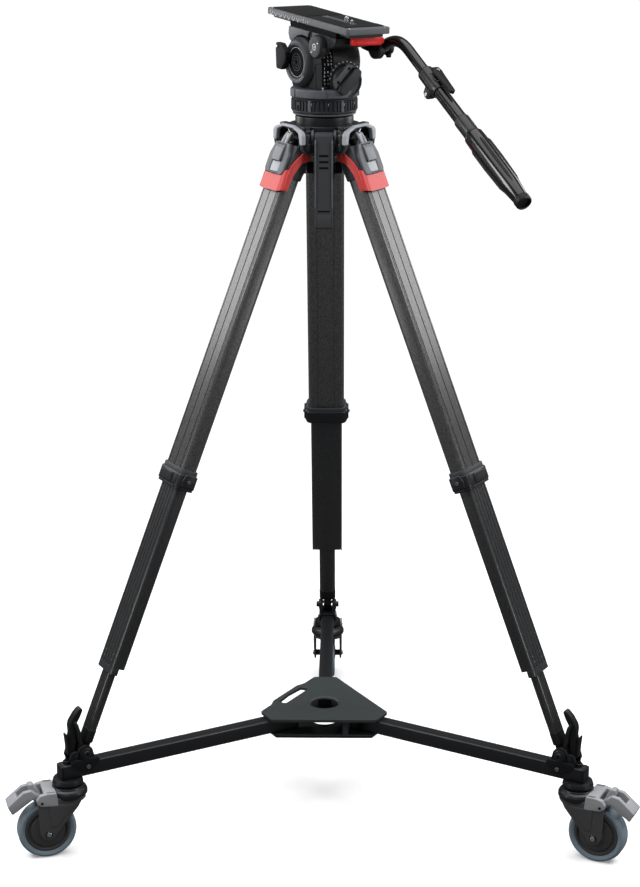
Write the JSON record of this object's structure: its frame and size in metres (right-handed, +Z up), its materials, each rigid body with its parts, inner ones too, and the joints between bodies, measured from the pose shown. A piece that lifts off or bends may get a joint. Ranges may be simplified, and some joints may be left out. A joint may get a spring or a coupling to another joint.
{
  "type": "camera tripod with dolly",
  "caption": "Video tripod with fluid head and pan bar, telescoping carbon legs locked onto a rolling dolly with swivelling, braked casters.",
  "frame": {"origin": "centre of the bounding box on the floor", "axes": "Z up; X to the side that the pan bar leans to; Y towards the rear leg"},
  "size_m": [1.0763, 0.9759, 1.3987],
  "materials": {
    "plate": "dark grey-green powder coat",
    "blackmetal": "satin black coat",
    "black": "satin black",
    "tyre": "blue-grey rubber",
    "light": "light grey coat",
    "dark": "fine dark grey texture",
    "carbon": "woven carbon laminate, half gloss",
    "red": "satin red",
    "steel": "bright"
  },
  "bodies": {
    "dolly": {"dolly_top_plate": "plate", "dolly_bottom_plate": "blackmetal", "dolly_arm_rear": "blackmetal", "foot_clamp_rear": "black", "dolly_arm_left": "blackmetal", "foot_clamp_left": "black", "dolly_arm_right": "blackmetal", "foot_clamp_right": "black"},
    "crown": {"crown": "dark", "half_ball_base": "blackmetal"},
    "tie_down": {"tie_down_knob": "black"},
    "carry_handle": {"carry_handle": "dark"},
    "drag_ring": {"pan_drag_ring": "blackmetal"},
    "pan_head": {"pan_body": "dark"},
    "counterbalance": {"counterbalance_knob": "dark"},
    "tilt_brake": {"tilt_brake_lever": "blackmetal"},
    "cradle": {"tilt_cradle": "dark"},
    "tilt_drag": {"tilt_drag_dial": "black"},
    "level_dial": {"level_dial": "black"},
    "plate": {"camera_plate": "dark"},
    "camera_screw": {"camera_screw": "steel"},
    "plate_lever": {"plate_lever": "red"},
    "pan_bar": {"pan_bar_inner": "blackmetal"},
    "bar_knob": {"bar_clamp_knob": "black"},
    "bar_outer": {"pan_bar_outer": "blackmetal", "pan_bar_grip": "black"},
    "bar_wing": {"bar_wing_lever": "blackmetal"},
    "clamp_lever_rear": {"clamp_lever_rear": "black"},
    "fork_rear": {"caster_fork_rear": "black"},
    "wheel_rear": {"wheel_hub_rear": "black", "tyre_rear": "tyre"},
    "pedal_rear": {"brake_pedal_rear": "light"},
    "leg_rear": {"leg_upper_rear": "carbon", "leg_shoulder_rear": "dark", "leg_band_rear": "red"},
    "leg_brake_rear": {"leg_brake_lever_rear": "light"},
    "leg_mid_rear": {"leg_middle_rear": "carbon"},
    "leg_low_rear": {"leg_lower_rear": "carbon"},
    "clamp_lever_left": {"clamp_lever_left": "black"},
    "fork_left": {"caster_fork_left": "black"},
    "wheel_left": {"wheel_hub_left": "black", "tyre_left": "tyre"},
    "pedal_left": {"brake_pedal_left": "light"},
    "leg_left": {"leg_upper_left": "carbon", "leg_shoulder_left": "dark", "leg_band_left": "red"},
    "leg_brake_left": {"leg_brake_lever_left": "light"},
    "leg_mid_left": {"leg_middle_left": "carbon"},
    "leg_low_left": {"leg_lower_left": "carbon"},
    "clamp_lever_right": {"clamp_lever_right": "black"},
    "fork_right": {"caster_fork_right": "black"},
    "wheel_right": {"wheel_hub_right": "black", "tyre_right": "tyre"},
    "pedal_right": {"brake_pedal_right": "light"},
    "leg_right": {"leg_upper_right": "carbon", "leg_shoulder_right": "dark", "leg_band_right": "red"},
    "leg_brake_right": {"leg_brake_lever_right": "light"},
    "leg_mid_right": {"leg_middle_right": "carbon"},
    "leg_low_right": {"leg_lower_right": "carbon"}
  },
  "joints": [
    {"name": "height", "type": "slide", "parent": "dolly", "child": "crown", "axis": [0, 0, 1], "range_m": [0, 0.25]},
    {"name": "spread_rear", "type": "hinge", "parent": "crown", "child": "leg_rear", "pos_m": [0.0014, -0.0616, 1.182], "axis": [-1, 0, 0], "range_deg": [0, 4.29]},
    {"name": "leg_stage2_rear", "type": "slide", "parent": "leg_rear", "child": "leg_mid_rear", "axis": [0, 0.3838, -0.9234], "range_m": [0, 0.0958]},
    {"name": "leg_stage3_rear", "type": "slide", "parent": "leg_mid_rear", "child": "leg_low_rear", "axis": [0, 0.3838, -0.9234], "range_m": [0, 0.1387]},
    {"name": "spread_left", "type": "hinge", "parent": "crown", "child": "leg_left", "pos_m": [-0.04744, -0.1462, 1.182], "axis": [0.5, -0.866, 0], "range_deg": [0, 4.29]},
    {"name": "leg_stage2_left", "type": "slide", "parent": "leg_left", "child": "leg_mid_left", "axis": [-0.3324, -0.1919, -0.9234], "range_m": [0, 0.0958]},
    {"name": "leg_stage3_left", "type": "slide", "parent": "leg_mid_left", "child": "leg_low_left", "axis": [-0.3324, -0.1919, -0.9234], "range_m": [0, 0.1387]},
    {"name": "spread_right", "type": "hinge", "parent": "crown", "child": "leg_right", "pos_m": [0.05024, -0.1462, 1.182], "axis": [0.5, 0.866, 0], "range_deg": [0, 4.29]},
    {"name": "leg_stage2_right", "type": "slide", "parent": "leg_right", "child": "leg_mid_right", "axis": [0.3324, -0.1919, -0.9234], "range_m": [0, 0.0958]},
    {"name": "leg_stage3_right", "type": "slide", "parent": "leg_mid_right", "child": "leg_low_right", "axis": [0.3324, -0.1919, -0.9234], "range_m": [0, 0.1387]},
    {"name": "clamp_lever_rear", "type": "hinge", "parent": "dolly", "child": "clamp_lever_rear", "pos_m": [0.0014, 0.372, 0.18], "axis": [-1, 0, 0], "range_deg": [0, 65]},
    {"name": "clamp_lever_left", "type": "hinge", "parent": "dolly", "child": "clamp_lever_left", "pos_m": [-0.42295, -0.363, 0.18], "axis": [0.5, -0.866, 0], "range_deg": [0, 65]},
    {"name": "clamp_lever_right", "type": "hinge", "parent": "dolly", "child": "clamp_lever_right", "pos_m": [0.42575, -0.363, 0.18], "axis": [0.5, 0.866, 0], "range_deg": [0, 65]},
    {"name": "leg_brake_rear", "type": "hinge", "parent": "leg_rear", "child": "leg_brake_rear", "pos_m": [0.0014, -0.03855, 1.18075], "axis": [1, 0, 0], "range_deg": [0, 50]},
    {"name": "leg_brake_left", "type": "hinge", "parent": "leg_left", "child": "leg_brake_left", "pos_m": [-0.0674, -0.15772, 1.18075], "axis": [-0.5, 0.866, 0], "range_deg": [0, 50]},
    {"name": "leg_brake_right", "type": "hinge", "parent": "leg_right", "child": "leg_brake_right", "pos_m": [0.0702, -0.15772, 1.18075], "axis": [-0.5, -0.866, 0], "range_deg": [0, 50]},
    {"name": "swivel_rear", "type": "hinge", "parent": "dolly", "child": "fork_rear", "pos_m": [0.0014, 0.382, 0], "axis": [0, 0, 1], "continuous": true},
    {"name": "swivel_left", "type": "hinge", "parent": "dolly", "child": "fork_left", "pos_m": [-0.43161, -0.368, 0], "axis": [0, 0, 1], "continuous": true},
    {"name": "swivel_right", "type": "hinge", "parent": "dolly", "child": "fork_right", "pos_m": [0.43441, -0.368, 0], "axis": [0, 0, 1], "continuous": true},
    {"name": "wheel_rear", "type": "hinge", "parent": "fork_rear", "child": "wheel_rear", "pos_m": [0.0014, 0.421, 0.05], "axis": [-1, 0, 0], "continuous": true},
    {"name": "wheel_left", "type": "hinge", "parent": "fork_left", "child": "wheel_left", "pos_m": [-0.46891, -0.3794, 0.05], "axis": [0.2924, -0.9563, 0], "continuous": true},
    {"name": "wheel_right", "type": "hinge", "parent": "fork_right", "child": "wheel_right", "pos_m": [0.46976, -0.38448, 0.05], "axis": [0.4226, 0.9063, 0], "continuous": true},
    {"name": "pedal_rear", "type": "hinge", "parent": "fork_rear", "child": "pedal_rear", "pos_m": [0.0014, 0.431, 0.1085], "axis": [-1, 0, 0], "range_deg": [0, 14]},
    {"name": "pedal_left", "type": "hinge", "parent": "fork_left", "child": "pedal_left", "pos_m": [-0.47847, -0.38233, 0.1085], "axis": [0.2924, -0.9563, 0], "range_deg": [0, 14]},
    {"name": "pedal_right", "type": "hinge", "parent": "fork_right", "child": "pedal_right", "pos_m": [0.47882, -0.38871, 0.1085], "axis": [0.4226, 0.9063, 0], "range_deg": [0, 14]},
    {"name": "tie_down", "type": "hinge", "parent": "crown", "child": "tie_down", "pos_m": [0.0014, -0.118, 0], "axis": [0, 0, 1], "range_deg": [0, 360]},
    {"name": "carry_handle", "type": "hinge", "parent": "crown", "child": "carry_handle", "pos_m": [0.0014, -0.1865, 1.203], "axis": [-1, 0, 0], "range_deg": [0, 60]},
    {"name": "drag_ring", "type": "hinge", "parent": "crown", "child": "drag_ring", "pos_m": [0.0014, -0.118, 0], "axis": [0, 0, 1], "range_deg": [0, 270]},
    {"name": "pan", "type": "hinge", "parent": "crown", "child": "pan_head", "pos_m": [0.0014, -0.118, 0], "axis": [0, 0, 1], "continuous": true},
    {"name": "counterbalance", "type": "hinge", "parent": "pan_head", "child": "counterbalance", "pos_m": [0.03723, -0.15113, 1.287], "axis": [0.5446, -0.8387, 0], "range_deg": [0, 270]},
    {"name": "tilt_brake", "type": "hinge", "parent": "pan_head", "child": "tilt_brake", "pos_m": [-0.06028, -0.1354, 1.325], "axis": [0.8387, 0.5446, 0], "range_deg": [0, 25]},
    {"name": "tilt", "type": "hinge", "parent": "pan_head", "child": "cradle", "pos_m": [0.0014, -0.118, 1.317], "axis": [0.8387, 0.5446, 0], "range_deg": [-40, 20]},
    {"name": "tilt_drag", "type": "hinge", "parent": "cradle", "child": "tilt_drag", "pos_m": [-0.00368, -0.1862, 1.34582], "axis": [0.8387, 0.5446, 0], "range_deg": [0, 270]},
    {"name": "level_dial", "type": "hinge", "parent": "cradle", "child": "level_dial", "pos_m": [0.0213, -0.07409, 1.3692], "axis": [0.8387, 0.5446, 0], "range_deg": [0, 270]},
    {"name": "plate_slide", "type": "slide", "parent": "cradle", "child": "plate", "axis": [0.543, -0.8361, -0.0785], "range_m": [-0.045, 0.045]},
    {"name": "camera_screw", "type": "hinge", "parent": "plate", "child": "camera_screw", "pos_m": [0.03452, -0.169, 1.31221], "axis": [0.0427, -0.0658, 0.9969], "range_deg": [0, 360]},
    {"name": "plate_lever", "type": "hinge", "parent": "cradle", "child": "plate_lever", "pos_m": [0.04714, -0.21047, 1.35709], "axis": [-0.0427, 0.0658, -0.9969], "range_deg": [0, 60]},
    {"name": "bar_angle", "type": "hinge", "parent": "cradle", "child": "pan_bar", "pos_m": [0.08221, -0.15724, 1.34104], "axis": [0.8387, 0.5446, 0], "range_deg": [-40, 20]},
    {"name": "bar_knob", "type": "hinge", "parent": "pan_bar", "child": "bar_knob", "pos_m": [0.102, -0.14439, 1.34104], "axis": [0.8387, 0.5446, 0], "range_deg": [0, 270]},
    {"name": "bar_slide", "type": "slide", "parent": "pan_bar", "child": "bar_outer", "axis": [0.4568, -0.7034, -0.5446], "range_m": [0, 0.09]},
    {"name": "bar_wing", "type": "hinge", "parent": "bar_outer", "child": "bar_wing", "pos_m": [0.18038, -0.28271, 1.31299], "axis": [0.2966, -0.4568, 0.8387], "range_deg": [0, 120]}
  ],
  "couplings": [
    {"joint": "spread_rear", "follows": "height", "rad_per_m": 0.2998},
    {"joint": "leg_stage2_rear", "follows": "height", "ratio": 0.3828},
    {"joint": "leg_stage3_rear", "follows": "height", "ratio": 0.5546},
    {"joint": "spread_left", "follows": "height", "rad_per_m": 0.2998},
    {"joint": "leg_stage2_left", "follows": "height", "ratio": 0.3828},
    {"joint": "leg_stage3_left", "follows": "height", "ratio": 0.5546},
    {"joint": "spread_right", "follows": "height", "rad_per_m": 0.2998},
    {"joint": "leg_stage2_right", "follows": "height", "ratio": 0.3828},
    {"joint": "leg_stage3_right", "follows": "height", "ratio": 0.5546}
  ]
}
